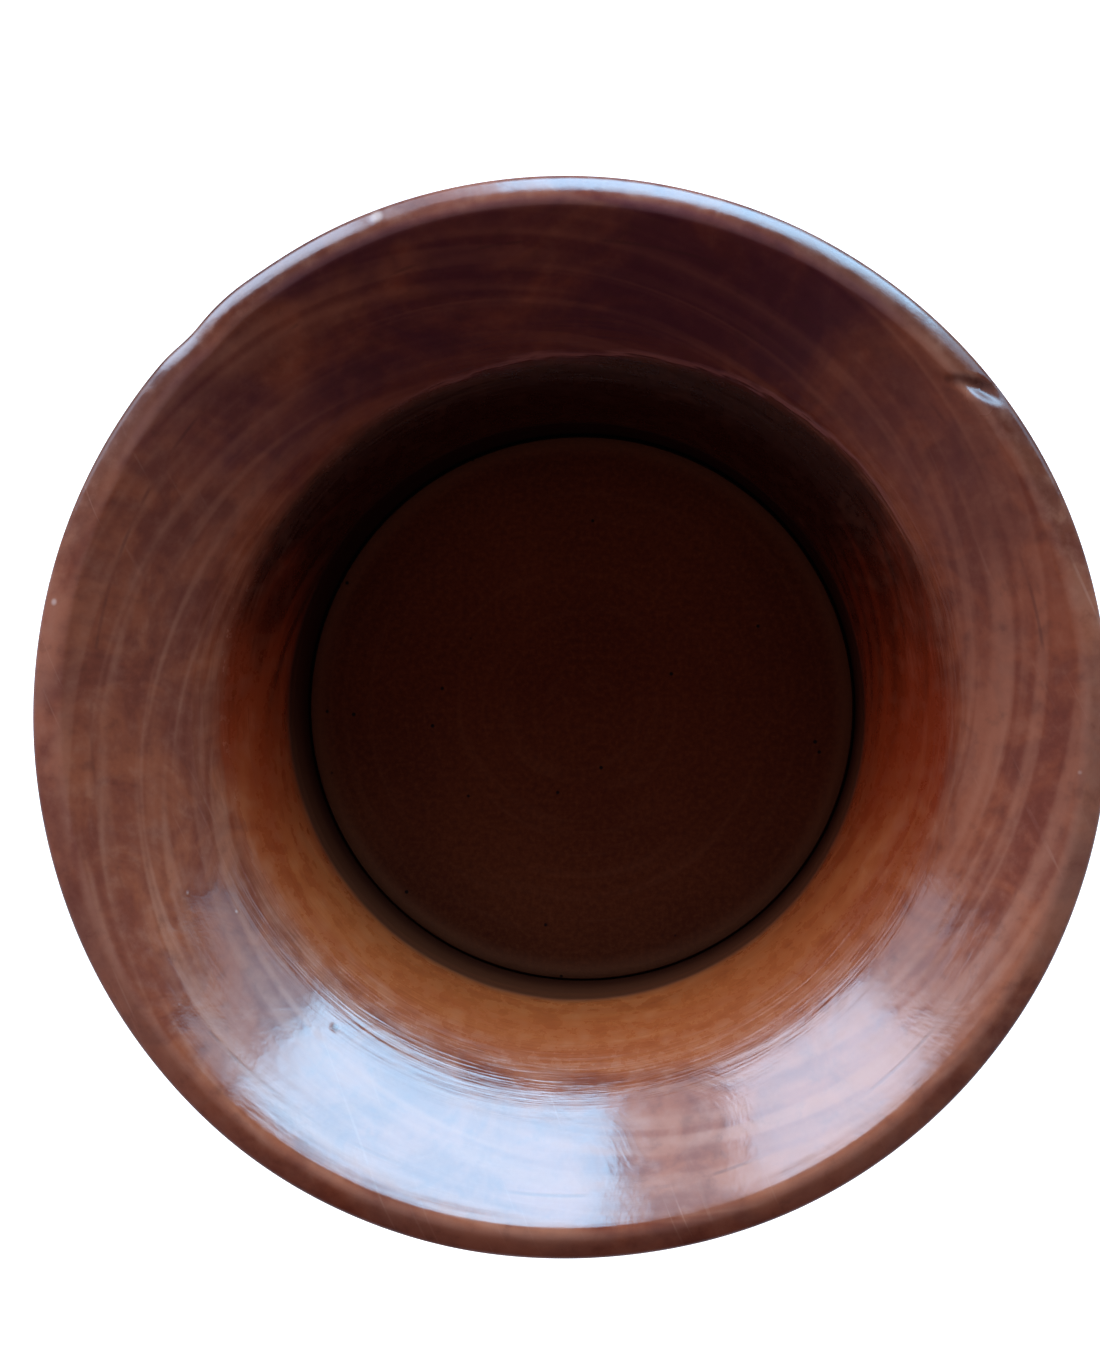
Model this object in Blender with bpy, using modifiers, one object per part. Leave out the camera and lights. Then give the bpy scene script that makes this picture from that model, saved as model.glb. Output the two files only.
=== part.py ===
"""A thrown stoneware pour over dripper with a loose porous filter disc.

Metres, +Z up. The origin is the centre of the circle that the locating ring stands on, and the
dripper's axis is +Z. The fired pieces are thrown or cut one by one and luted together, each with a
thin joint to the next. The filter disc lies loose on three buttons in the well and lifts out along
+Z. The profiles are in the XZ plane, and each turned piece is its profile swept about Z.
"""

from math import cos, pi, radians, sin

import bmesh
import bpy
from mathutils import Matrix, Vector

MM = 0.001

# The joint between luted pieces, and the play under the loose disc.
JOINT = 0.3 * MM
TURN_STEPS = 64
SHARP_ANGLE = radians(38)

# Heights, from the surface that the dripper stands on.
RIM_TOP = 80.0 * MM
THROAT_HEIGHT = 50.0 * MM
BELLY_HEIGHT = 39.0 * MM
FLOOR_TOP = 26.5 * MM
SAUCER_TOP = 16.0 * MM
SAUCER_BOTTOM = 11.0 * MM
SPOUT_TIP = 8.3 * MM

# Radii.
RIM_RADIUS = 60.2 * MM
RIM_CREST_RADIUS = 57.4 * MM
THROAT_RADIUS = 34.3 * MM
BELLY_RADIUS = 34.6 * MM
FLOOR_RADIUS = 29.0 * MM
WALL = 4.4 * MM
DRIP_HOLE_RADIUS = 5.0 * MM
DRIP_SINK_RADIUS = 12.0 * MM
SPOUT_RADIUS = 9.0 * MM
BASE_RADIUS = 31.5 * MM
SAUCER_RADIUS = 53.0 * MM
RING_OUTER_RADIUS = 34.0 * MM
RING_INNER_RADIUS = 28.6 * MM

# The rolled rim: it slopes outward from its crest to a small round edge, and its bead hangs over.
RIM_BEVEL_SLOPE = radians(32)
RIM_CREST_REACH = 0.8 * MM
RIM_BEVEL_REACH = 0.8 * MM
RIM_EDGE_ROUND = 0.5 * MM
RIM_EDGE_DROP = 1.42 * MM
BEAD_DROP = 3.2 * MM
BEAD_RADIUS = 2.4 * MM
BEAD_CURL = radians(-115)

# The flare inside, from its lip down to the throat.
FLARE_LIP_RADIUS = 56.6 * MM
FLARE_LIP_DROP = 0.25 * MM
FLARE_LIP_SLOPE = radians(37)
FLARE_LIP_REACH = 21.0 * MM
THROAT_REACH = 10.0 * MM
LIP_REACH = 0.25 * MM
LIP_CREST_REACH = 0.35 * MM

# The collar's outer side, from under the bead down to its joint with the well.
UNDER_BEAD_SLOPE = radians(30)
UNDER_BEAD_REACH = 7.0 * MM
COLLAR_FOOT_SLOPE = radians(62)
COLLAR_FOOT_REACH = 5.0 * MM
COLLAR_FOOT_PROUD = 0.1 * MM

# The well's outer side, from its joint with the collar down to the saucer.
WELL_TOP_HANDLE = (1.2 * MM, 2.8 * MM)
WAIST_REACH_UP = 4.5 * MM
WAIST_REACH_DOWN = 6.0 * MM
OUTER_BELLY_HEIGHT = 37.0 * MM
OUTER_BELLY_REACH_UP = 6.0 * MM
OUTER_BELLY_REACH_DOWN = 9.0 * MM
BASE_HANDLE = (6.0 * MM, 1.5 * MM)

# The well's inside, from its floor up to the throat, and the drip hole through the spout.
FLOOR_REACH = 5.5 * MM
BELLY_REACH_DOWN = 7.5 * MM
BELLY_REACH_UP = 4.5 * MM
DRIP_SINK_DEPTH = 3.5 * MM
SPOUT_EDGE = 0.8 * MM
DRIP_HOLE_EDGE = 0.4 * MM

# The saucer's plate and upturned lip.
SAUCER_LIP_RADIUS = 1.6 * MM
SAUCER_LIP_RISE = 1.4 * MM
SAUCER_LIP_END = radians(-60)
SAUCER_DISH_RADIUS = 33.0 * MM
SAUCER_DISH_REACH = 8.0 * MM
SAUCER_LIP_HANDLE = (4.0 * MM, 1.2 * MM)
SAUCER_FLAT_RADIUS = 48.0 * MM
SAUCER_UNDER_HANDLE = (0.8 * MM, 1.2 * MM)
SAUCER_FLAT_REACH = 2.4 * MM

# The locating ring tapers towards its rounded foot.
RING_OUTER_TAPER = 0.8 * MM
RING_INNER_TAPER = 1.0 * MM
RING_FOOT_ROUND = 1.2 * MM

# How far down the flare's curve the collar ends and the well begins.
SEAM = 0.80

# The flare's curve is read at this many even steps, and nearer points count as the same place.
FLARE_STEPS = 200
SAME_PLACE = 0.01 * MM

# The loose filter disc, and the three buttons under it.
DISC_RADIUS = 33.9 * MM
DISC_TOP = 36.0 * MM
DISC_BOTTOM = 31.8 * MM
DISC_EDGE = 0.8 * MM
REST_RADIUS = 4.0 * MM
REST_CIRCLE = 22.0 * MM
REST_SIDES = 16

# The three bars that hold the saucer off a mug's rim.
LUG_HEIGHT = 2.0 * MM
LUG_INNER = 36.0 * MM
LUG_OUTER = 47.0 * MM
LUG_WIDTH = 6.0 * MM
SUPPORTS = 3
SMALL_EDGE = 0.5 * MM
SMALL_EDGE_ANGLE = radians(50)


def curve(start, start_handle, end_handle, end, steps):
    """Points along a cubic curve, its two ends among them."""
    points = []
    for step in range(steps + 1):
        t = step / steps
        u = 1 - t
        points.append(
            start * u**3 + start_handle * 3 * u**2 * t + end_handle * 3 * u * t**2 + end * t**3
        )
    return points


def arc(centre, radius, first, last, steps):
    """Points along part of an upright circle, from one angle to another."""
    angles = [first + (last - first) * step / steps for step in range(steps + 1)]
    return [Vector(centre) + sloping(angle, radius) for angle in angles]


def sloping(angle, length):
    """A step of that length, rising outward at that angle."""
    return Vector((cos(angle), sin(angle))) * length


def flare(first, last, steps):
    """The flare's inner face, from its lip at 0 down to the throat at 1."""
    lip = Vector((FLARE_LIP_RADIUS, RIM_TOP - FLARE_LIP_DROP))
    throat = Vector((THROAT_RADIUS, THROAT_HEIGHT))
    lip_handle = lip - sloping(FLARE_LIP_SLOPE, FLARE_LIP_REACH)
    throat_handle = throat + Vector((0, THROAT_REACH))
    points = curve(lip, lip_handle, throat_handle, throat, FLARE_STEPS)
    places = [first + (last - first) * step / steps for step in range(steps + 1)]
    return [points[round(place * FLARE_STEPS)] for place in places]


def without_repeats(points):
    """The profile's points, each only once where two stretches meet."""
    kept = []
    for point in points:
        if not kept or (point - kept[-1]).length > SAME_PLACE:
            kept.append(point)
    if (kept[0] - kept[-1]).length < SAME_PLACE:
        kept.pop()
    return kept


def collar_profile():
    """The collar, clockwise from its crest: bead, outer face, joint face and flare."""
    crest = Vector((RIM_CREST_RADIUS, RIM_TOP))
    crest_handle = crest + Vector((RIM_CREST_REACH, 0))
    edge_centre = (RIM_RADIUS - RIM_EDGE_ROUND, RIM_TOP - RIM_EDGE_DROP)
    edge = arc(edge_centre, RIM_EDGE_ROUND, pi / 2 - RIM_BEVEL_SLOPE, 0, 3)
    edge_handle = edge[0] + sloping(pi - RIM_BEVEL_SLOPE, RIM_BEVEL_REACH)
    bevel = curve(crest, crest_handle, edge_handle, edge[0], 4)
    bead_centre = (RIM_RADIUS - BEAD_RADIUS, RIM_TOP - BEAD_DROP)
    bead = arc(bead_centre, BEAD_RADIUS, 0, BEAD_CURL, 5)
    inside = flare(SEAM, 0, 9)
    joint_outer = inside[0] + Vector((WALL + COLLAR_FOOT_PROUD, 0))
    under_bead = bead[-1] - sloping(UNDER_BEAD_SLOPE, UNDER_BEAD_REACH)
    over_joint = joint_outer + sloping(COLLAR_FOOT_SLOPE, COLLAR_FOOT_REACH)
    outside = curve(bead[-1], under_bead, over_joint, joint_outer, 6)
    lip_handle = inside[-1] + sloping(FLARE_LIP_SLOPE, LIP_REACH)
    lip = curve(inside[-1], lip_handle, crest - Vector((LIP_CREST_REACH, 0)), crest, 3)
    return without_repeats(bevel + edge + bead + outside + inside + lip)


def well_outside(joint_outer):
    """The well's outer side, from its joint with the collar down to its foot."""
    waist = Vector((THROAT_RADIUS + WALL, THROAT_HEIGHT))
    belly = Vector((BELLY_RADIUS + WALL, OUTER_BELLY_HEIGHT))
    base = Vector((BASE_RADIUS, SAUCER_TOP + JOINT))
    over_waist = waist + Vector((0, WAIST_REACH_UP))
    under_waist = waist - Vector((0, WAIST_REACH_DOWN))
    over_belly = belly + Vector((0, OUTER_BELLY_REACH_UP))
    under_belly = belly - Vector((0, OUTER_BELLY_REACH_DOWN))
    to_waist = curve(joint_outer, joint_outer - Vector(WELL_TOP_HANDLE), over_waist, waist, 3)
    to_belly = curve(waist, under_waist, over_belly, belly, 4)
    to_base = curve(belly, under_belly, base + Vector(BASE_HANDLE), base, 5)
    return to_waist + to_belly + to_base


def spout_and_hole():
    """The spout's outer side, its tip, and the drip hole up to the well's floor."""
    return [
        Vector((SPOUT_RADIUS, SAUCER_TOP + JOINT)),
        Vector((SPOUT_RADIUS, SPOUT_TIP + SPOUT_EDGE)),
        Vector((SPOUT_RADIUS - SPOUT_EDGE, SPOUT_TIP)),
        Vector((DRIP_HOLE_RADIUS + DRIP_HOLE_EDGE, SPOUT_TIP)),
        Vector((DRIP_HOLE_RADIUS, SPOUT_TIP + DRIP_HOLE_EDGE)),
        Vector((DRIP_HOLE_RADIUS, FLOOR_TOP - DRIP_SINK_DEPTH)),
        Vector((DRIP_SINK_RADIUS, FLOOR_TOP)),
    ]


def well_profile():
    """The well, from its joint face down its outer side and up through the drip hole."""
    flare_down = flare(SEAM, 1, 4)
    joint_inner = flare_down[0] - Vector((0, JOINT))
    joint_outer = joint_inner + Vector((WALL, 0))
    floor = Vector((FLOOR_RADIUS, FLOOR_TOP))
    belly = Vector((BELLY_RADIUS, BELLY_HEIGHT))
    throat = flare_down[-1]
    floor_handle = floor + Vector((FLOOR_REACH, 0))
    under_belly = belly - Vector((0, BELLY_REACH_DOWN))
    over_belly = belly + Vector((0, BELLY_REACH_UP))
    under_throat = throat - Vector((0, BELLY_REACH_UP))
    floor_corner = curve(floor, floor_handle, under_belly, belly, 5)
    undercut = curve(belly, over_belly, under_throat, throat, 4)
    inside = floor_corner + undercut + flare_down[-2:0:-1] + [joint_inner]
    return without_repeats(well_outside(joint_outer) + spout_and_hole() + inside)


def saucer_profile():
    """The saucer: a flat plate round the spout, with an upturned lip."""
    hole = SPOUT_RADIUS + JOINT
    lip_centre = (SAUCER_RADIUS - SAUCER_LIP_RADIUS, SAUCER_TOP + SAUCER_LIP_RISE)
    lip = arc(lip_centre, SAUCER_LIP_RADIUS, pi / 2, SAUCER_LIP_END, 5)
    dish = Vector((SAUCER_DISH_RADIUS, SAUCER_TOP))
    dish_handle = dish + Vector((SAUCER_DISH_REACH, 0))
    top = curve(dish, dish_handle, lip[0] - Vector(SAUCER_LIP_HANDLE), lip[0], 4)
    flat = Vector((SAUCER_FLAT_RADIUS, SAUCER_BOTTOM))
    under_lip = lip[-1] - Vector(SAUCER_UNDER_HANDLE)
    under = curve(lip[-1], under_lip, flat + Vector((SAUCER_FLAT_REACH, 0)), flat, 3)
    hole_top = Vector((hole, SAUCER_TOP))
    hole_bottom = Vector((hole, SAUCER_BOTTOM))
    return without_repeats([hole_top] + top + lip + under + [hole_bottom])


def ring_profile():
    """The locating ring: a tapered band with a rounded foot."""
    top = SAUCER_BOTTOM - JOINT
    outer_centre = (RING_OUTER_RADIUS - RING_OUTER_TAPER - RING_FOOT_ROUND, RING_FOOT_ROUND)
    inner_centre = (RING_INNER_RADIUS + RING_INNER_TAPER + RING_FOOT_ROUND, RING_FOOT_ROUND)
    outer_corner = arc(outer_centre, RING_FOOT_ROUND, 0, -pi / 2, 2)
    inner_corner = arc(inner_centre, RING_FOOT_ROUND, -pi / 2, -pi, 2)
    outer_top = Vector((RING_OUTER_RADIUS, top))
    inner_top = Vector((RING_INNER_RADIUS, top))
    return without_repeats([outer_top] + outer_corner + inner_corner + [inner_top])


def disc_profile():
    """The filter disc, from its axis across its top and round its edge."""
    upper_centre = (DISC_RADIUS - DISC_EDGE, DISC_TOP - DISC_EDGE)
    lower_centre = (DISC_RADIUS - DISC_EDGE, DISC_BOTTOM + DISC_EDGE)
    upper = arc(upper_centre, DISC_EDGE, pi / 2, 0, 3)
    lower = arc(lower_centre, DISC_EDGE, 0, -pi / 2, 3)
    return [Vector((0, DISC_TOP))] + upper + lower + [Vector((0, DISC_BOTTOM))]


def new_collection(name):
    collection = bpy.data.collections.new(name)
    bpy.context.scene.collection.children.link(collection)
    return collection


def fired_clay(name, colour, roughness, coat):
    """A clay or glaze: its colour, how rough it is, and how much clear gloss lies on it."""
    material = bpy.data.materials.new(name)
    material.use_nodes = True
    shader = material.node_tree.nodes["Principled BSDF"]
    shader.inputs["Base Color"].default_value = (*colour, 1)
    shader.inputs["Roughness"].default_value = roughness
    shader.inputs["Metallic"].default_value = 0
    shader.inputs["Coat Weight"].default_value = coat
    material.diffuse_color = (*colour, 1)
    return material


def add_piece(collection, name, mesh, material):
    piece = bpy.data.objects.new(name, mesh)
    collection.objects.link(piece)
    mesh.materials.append(material)
    return piece


def shade_round(mesh):
    mesh.shade_smooth()
    mesh.set_sharp_from_angle(angle=SHARP_ANGLE)


def turned(collection, name, profile, closed, material, axis_height=0.0):
    """A turned piece. Its origin is on the axis, axis_height above the ground."""
    mesh = bpy.data.meshes.new(name)
    points = [(point.x, 0, point.y - axis_height) for point in profile]
    edges = [(index, index + 1) for index in range(len(points) - 1)]
    if closed:
        edges.append((len(points) - 1, 0))
    mesh.from_pydata(points, edges, [])
    piece = add_piece(collection, name, mesh, material)
    piece.location.z = axis_height
    screw = piece.modifiers.new("turn", "SCREW")
    screw.axis = "Z"
    screw.angle = 2 * pi
    screw.steps = TURN_STEPS
    screw.render_steps = TURN_STEPS
    screw.use_merge_vertices = True
    screw.merge_threshold = SAME_PLACE
    screw.use_smooth_shade = True
    graph = bpy.context.evaluated_depsgraph_get()
    piece.data = bpy.data.meshes.new_from_object(piece.evaluated_get(graph))
    piece.data.name = name
    piece.modifiers.clear()
    bpy.data.meshes.remove(mesh)
    shade_round(piece.data)
    return piece


def soften_edges(piece):
    bevel = piece.modifiers.new("soft edges", "BEVEL")
    bevel.width = SMALL_EDGE
    bevel.segments = 1
    bevel.limit_method = "ANGLE"
    bevel.angle_limit = SMALL_EDGE_ANGLE


def disc_rest(collection, index, material):
    """One of the clay buttons on the well's floor."""
    height = DISC_BOTTOM - FLOOR_TOP - 2 * JOINT
    mesh = bpy.data.meshes.new(f"disc_rest_{index}")
    shape = bmesh.new()
    bmesh.ops.create_cone(
        shape,
        cap_ends=True,
        segments=REST_SIDES,
        radius1=REST_RADIUS,
        radius2=REST_RADIUS,
        depth=height,
    )
    bmesh.ops.translate(shape, verts=shape.verts, vec=(0, 0, height / 2))
    shape.to_mesh(mesh)
    shape.free()
    piece = add_piece(collection, mesh.name, mesh, material)
    angle = pi / 2 + 2 * pi * (index - 1) / SUPPORTS
    piece.location = (REST_CIRCLE * cos(angle), REST_CIRCLE * sin(angle), FLOOR_TOP + JOINT)
    soften_edges(piece)
    shade_round(mesh)


def vent_lug(collection, index, material):
    """One of the clay bars under the saucer, lying along a radius."""
    mesh = bpy.data.meshes.new(f"vent_lug_{index}")
    shape = bmesh.new()
    size = (LUG_OUTER - LUG_INNER, LUG_WIDTH, LUG_HEIGHT)
    bmesh.ops.create_cube(shape, size=1, matrix=Matrix.Diagonal((*size, 1)))
    shape.to_mesh(mesh)
    shape.free()
    piece = add_piece(collection, mesh.name, mesh, material)
    angle = -pi / 2 + 2 * pi * (index - 1) / SUPPORTS
    middle = (LUG_INNER + LUG_OUTER) / 2
    height = SAUCER_BOTTOM - JOINT - LUG_HEIGHT / 2
    piece.location = (middle * cos(angle), middle * sin(angle), height)
    piece.rotation_euler.z = angle
    soften_edges(piece)
    shade_round(mesh)


def build():
    for thing in list(bpy.data.objects):
        bpy.data.objects.remove(thing)
    dripper = new_collection("pour_over_dripper")
    glaze = fired_clay("brown_glaze", (0.13, 0.036, 0.02), 0.25, 0.8)
    inner_glaze = fired_clay("well_glaze", (0.12, 0.034, 0.018), 0.3, 0.6)
    bare_clay = fired_clay("bare_clay", (0.2, 0.1, 0.06), 0.85, 0)
    porous_clay = fired_clay("porous_clay", (0.05, 0.018, 0.01), 0.9, 0)
    turned(dripper, "flared_collar", collar_profile(), True, glaze)
    turned(dripper, "filter_well", well_profile(), True, inner_glaze)
    turned(dripper, "saucer_flange", saucer_profile(), True, glaze)
    turned(dripper, "locating_ring", ring_profile(), True, bare_clay)
    turned(dripper, "filter_disc", disc_profile(), False, porous_clay, axis_height=DISC_BOTTOM)
    for index in range(1, SUPPORTS + 1):
        disc_rest(dripper, index, inner_glaze)
        vent_lug(dripper, index, bare_clay)


build()
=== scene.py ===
"""The pour over dripper's looks: thrown, brown-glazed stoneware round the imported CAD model.

Metres, +Z up. Each turned CAD piece is replaced by a finer one: its own outline, smoothed, turned
about Z, with the marks of throwing, firing and use added. The window is on the +Y side.
"""

from math import atan2, cos, hypot, pi, radians, sin

import bmesh
import bpy
import numpy as np
from mathutils import Matrix, Vector, noise


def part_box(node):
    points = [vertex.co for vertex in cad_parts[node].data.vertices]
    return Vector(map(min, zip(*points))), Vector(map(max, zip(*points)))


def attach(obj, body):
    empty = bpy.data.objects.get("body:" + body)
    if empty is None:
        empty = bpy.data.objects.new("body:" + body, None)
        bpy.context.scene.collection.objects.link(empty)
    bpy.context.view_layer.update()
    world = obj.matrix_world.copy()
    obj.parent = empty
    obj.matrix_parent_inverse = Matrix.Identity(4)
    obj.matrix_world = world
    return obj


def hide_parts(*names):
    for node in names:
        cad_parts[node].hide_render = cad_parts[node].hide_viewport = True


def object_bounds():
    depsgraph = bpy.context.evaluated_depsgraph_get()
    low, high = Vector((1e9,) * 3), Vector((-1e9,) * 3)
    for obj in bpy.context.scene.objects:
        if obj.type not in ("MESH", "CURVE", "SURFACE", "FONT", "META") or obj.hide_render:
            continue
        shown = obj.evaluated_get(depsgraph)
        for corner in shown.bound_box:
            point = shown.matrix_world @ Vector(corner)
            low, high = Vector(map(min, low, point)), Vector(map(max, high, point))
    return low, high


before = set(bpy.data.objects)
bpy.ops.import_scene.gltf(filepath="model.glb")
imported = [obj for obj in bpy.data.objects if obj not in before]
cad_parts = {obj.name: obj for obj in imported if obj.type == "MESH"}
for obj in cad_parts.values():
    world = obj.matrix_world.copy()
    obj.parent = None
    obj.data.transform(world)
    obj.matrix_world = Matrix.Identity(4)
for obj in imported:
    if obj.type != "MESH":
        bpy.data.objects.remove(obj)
cad_low, cad_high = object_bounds()

MM = 0.001
RIM_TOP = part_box("flared_collar")[1].z
RIM_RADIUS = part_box("flared_collar")[1].x
SEAM_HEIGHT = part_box("flared_collar")[0].z
SEAM_GAP = SEAM_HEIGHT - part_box("filter_well")[1].z

# The rim's out-of-roundness: for each number of lobes, its height and where its first lobe lies.
RIM_LOBES = (
    (2, 0.238 * MM, radians(171.5)),
    (3, 0.147 * MM, radians(-1)),
    (4, 0.092 * MM, radians(172)),
    (5, 0.055 * MM, radians(125)),
    (6, 0.035 * MM, radians(-29)),
)

# The mean rim is drawn this much inside the CAD rim, so that its lobes stay in the CAD box.
RIM_SHRINK = 0.42 * MM

# The flat on the rim, its depth and half width, and the swelling beside it.
RIM_FLAT = radians(134.5)
FLAT_DEPTH = 0.34 * MM
FLAT_WIDTH = radians(2.6)
SWELLING = RIM_FLAT - radians(6.5)
SWELLING_HEIGHT = 0.14 * MM
SWELLING_WIDTH = radians(3)

# The fold across the rim: where it meets the edge, its turn per metre inwards, its depth, how far
# it takes to fall on its long side and to rise again on its short one, the radius where it is
# deepest, its reach from there, and the radius where it ends and how far it takes to end.
RIM_EDGE = 59.3 * MM
RIM_NICK = radians(38.2)
FOLD_LEAN = 20.0
FOLD_DEPTH = 0.66 * MM
FOLD_WIDTH = 2.9 * MM
FOLD_STEP = 1.7 * MM
FOLD_MIDDLE = 58.8 * MM
FOLD_REACH = 1.9 * MM
FOLD_END = 60.1 * MM
FOLD_END_FADE = 1.1 * MM

# The throwing rings: the pitch and the depth of those inside and of those outside.
INNER_RINGS = (2.9 * MM, 0.007 * MM)
OUTER_RINGS = (4.1 * MM, 0.06 * MM)

# The slow unevenness of the thrown wall: its size, its depth and where in the noise it starts.
UNEVEN = (17 * MM, 0.07 * MM, 3.1)

# The well's wall is drawn straight where it passes the disc: at this radius, up to which radius of
# its own, and at which height and how far to either side of it.
WALL_BY_DISC = 34.1 * MM
WALL_BY_DISC_MOST = 36 * MM
WALL_BY_DISC_HEIGHT = 40 * MM
WALL_BY_DISC_REACH = 9 * MM

# The loose disc lies a little off the middle of its well.
DISC_ASIDE = (0.03 * MM, -0.12 * MM, 0)


# ---------------------------------------------------------------- outlines


def outline_of(node):
    """The CAD node's outline in the XZ plane, in order round it, as (radius, height) pairs."""
    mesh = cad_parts[node].data
    on_plane = [abs(v.co.y) < 1e-6 and v.co.x > -1e-6 for v in mesh.vertices]
    places = [(round(v.co.x, 6), round(v.co.z, 6)) for v in mesh.vertices]
    beside = {}
    for edge in mesh.edges:
        first, second = edge.vertices
        a, b = places[first], places[second]
        if on_plane[first] and on_plane[second] and a != b and not a[0] == b[0] == 0:
            beside.setdefault(a, set()).add(b)
            beside.setdefault(b, set()).add(a)
    ends = [place for place, others in beside.items() if len(others) == 1]
    start = max(ends or beside, key=lambda place: (place[1], place[0]))
    order = [start]
    onward = max(beside[start], key=lambda place: place[0])
    while onward is not None and onward != start:
        order.append(onward)
        rest = [place for place in beside[onward] if place not in order[-2:]]
        onward = rest[0] if rest else None
    return np.array(order), not ends


def spline_through(points, spacing, first_way=None, last_way=None):
    """A smooth curve through the points, as points about one spacing apart.

    first_way and last_way, where given, are the curve's directions at its ends.
    """
    steps = np.hypot(*np.diff(points, axis=0).T)
    at = np.concatenate([[0], np.cumsum(steps)])
    wanted = np.linspace(0, at[-1], max(2, int(round(at[-1] / spacing)) + 1))
    if len(points) == 2:
        return np.stack([np.interp(wanted, at, points[:, k]) for k in (0, 1)], 1)
    size = len(points)
    slopes = np.diff(points, axis=0) / steps[:, None]
    system = np.zeros((size, size))
    right = np.zeros((size, 2))
    for k in range(1, size - 1):
        system[k, k - 1 : k + 2] = steps[k - 1], 2 * (steps[k - 1] + steps[k]), steps[k]
        right[k] = 6 * (slopes[k] - slopes[k - 1])
    system[0, 0:2] = 1, -1
    system[-1, -2:] = 1, -1
    if first_way is not None:
        system[0, 0:2] = 2 * steps[0], steps[0]
        right[0] = 6 * (slopes[0] - first_way)
    if last_way is not None:
        system[-1, -2:] = steps[-1], 2 * steps[-1]
        right[-1] = 6 * (last_way - slopes[-1])
    bend = np.linalg.solve(system, right)
    k = np.clip(np.searchsorted(at, wanted, side="right") - 1, 0, size - 2)
    h = steps[k][:, None]
    on = (wanted - at[k])[:, None] / h
    back = 1 - on
    cubic = (back**3 - back) * bend[k] + (on**3 - on) * bend[k + 1]
    return back * points[k] + on * points[k + 1] + cubic * h**2 / 6


def smooth_run(points, spacing):
    """The run's points refined. A side over three times its neighbours' length stays straight."""
    sides = np.diff(points, axis=0)
    lengths = np.hypot(*sides.T)
    count = len(sides)
    straight = []
    for k in range(count):
        beside = [lengths[j] for j in (k - 1, k + 1) if 0 <= j < count]
        if beside and lengths[k] > 3 * max(beside):
            straight.append(k)
    parts = []
    start = 0
    way = None
    for k in straight + [count]:
        after = sides[k] / lengths[k] if k < count else None
        if k > start:
            parts.append(spline_through(points[start : k + 1], spacing, way, after))
        if k < count:
            parts.append(spline_through(points[k : k + 2], spacing))
        start = k + 1
        way = after
    return np.concatenate([parts[0]] + [part[1:] for part in parts[1:]])


def smooth_outline(node, spacing, crisp=None, corner_angle=radians(42), fillet=0.35 * MM):
    """The node's outline with its smooth stretches refined and its corners softened.

    crisp is a (radius, height) whose corner stays sharp.
    """
    points, closed = outline_of(node)
    if not closed:
        points = np.concatenate([[(0, points[0, 1])], points, [(0, points[-1, 1])]])
    size = len(points)
    corners = [] if closed else [0]
    for k in range(0 if closed else 1, size if closed else size - 1):
        into = points[k] - points[k - 1]
        out = points[(k + 1) % size] - points[k]
        if abs(atan2(into[0] * out[1] - into[1] * out[0], into @ out)) > corner_angle:
            corners.append(k)
    corners.append(corners[0] + size if closed else size - 1)
    runs = []
    for here, there in zip(corners, corners[1:]):
        runs.append(smooth_run(points[np.arange(here, there + 1) % size], spacing))
    softened = []
    for number, run in enumerate(runs):
        from_first = np.hypot(*(run - run[0]).T)
        from_last = np.hypot(*(run - run[-1]).T)
        keep = np.ones(len(run), bool)
        if closed or number > 0:
            keep &= from_first > (0 if is_at(run[0], crisp) else fillet)
        if closed or number < len(runs) - 1:
            keep &= from_last > (0 if is_at(run[-1], crisp) else fillet)
        softened.append(run[keep])
        if not closed and number == len(runs) - 1:
            break
        if is_at(run[-1], crisp):
            softened.append(run[-1:])
            continue
        after = runs[(number + 1) % len(runs)]
        before_corner = cut_at(run[::-1], min(fillet, 0.45 * from_first[-1]))
        past_corner = cut_at(after, min(fillet, 0.45 * np.hypot(*(after[-1] - after[0]))))
        for t in (0, 0.25, 0.5, 0.75, 1):
            bent = (1 - t) ** 2 * before_corner + 2 * t * (1 - t) * run[-1] + t**2 * past_corner
            softened.append(bent[None])
    return np.concatenate(softened), closed


def is_at(point, place):
    """Whether the point lies at the place. A place of None is nowhere."""
    return place is not None and hypot(point[0] - place[0], point[1] - place[1]) < 0.6 * MM


def cut_at(run, distance):
    """The point on the run at that straight distance from its first point."""
    reach = np.hypot(*(run - run[0]).T)
    k = int(np.argmax(reach >= distance)) if (reach >= distance).any() else len(run) - 1
    part = (distance - reach[k - 1]) / max(reach[k] - reach[k - 1], 1e-9)
    return run[k - 1] + (run[k] - run[k - 1]) * part


def outward(points, closed):
    """The outline's outward directions. It runs clockwise: down its outer side."""
    if closed:
        along = np.roll(points, -1, axis=0) - np.roll(points, 1, axis=0)
    else:
        along = np.gradient(points, axis=0)
    along /= np.maximum(np.hypot(*along.T), 1e-12)[:, None]
    return np.stack([-along[:, 1], along[:, 0]], 1)


def inner_joint_radius():
    """The inner radius of the collar's joint face."""
    points, closed = outline_of("flared_collar")
    return min(radius for radius, height in points if height < SEAM_HEIGHT + 0.1 * MM)


# ---------------------------------------------------------------- turning


def even_angles(count, finer=()):
    """Angles round the axis, with extra ones between each finer stretch's two ends."""
    angles = set(np.round(np.arange(count) * 2 * pi / count, 6))
    for first, last, step in finer:
        angles |= set(np.round(np.arange(first, last, step) % (2 * pi), 6))
    return np.array(sorted(angles))


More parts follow.
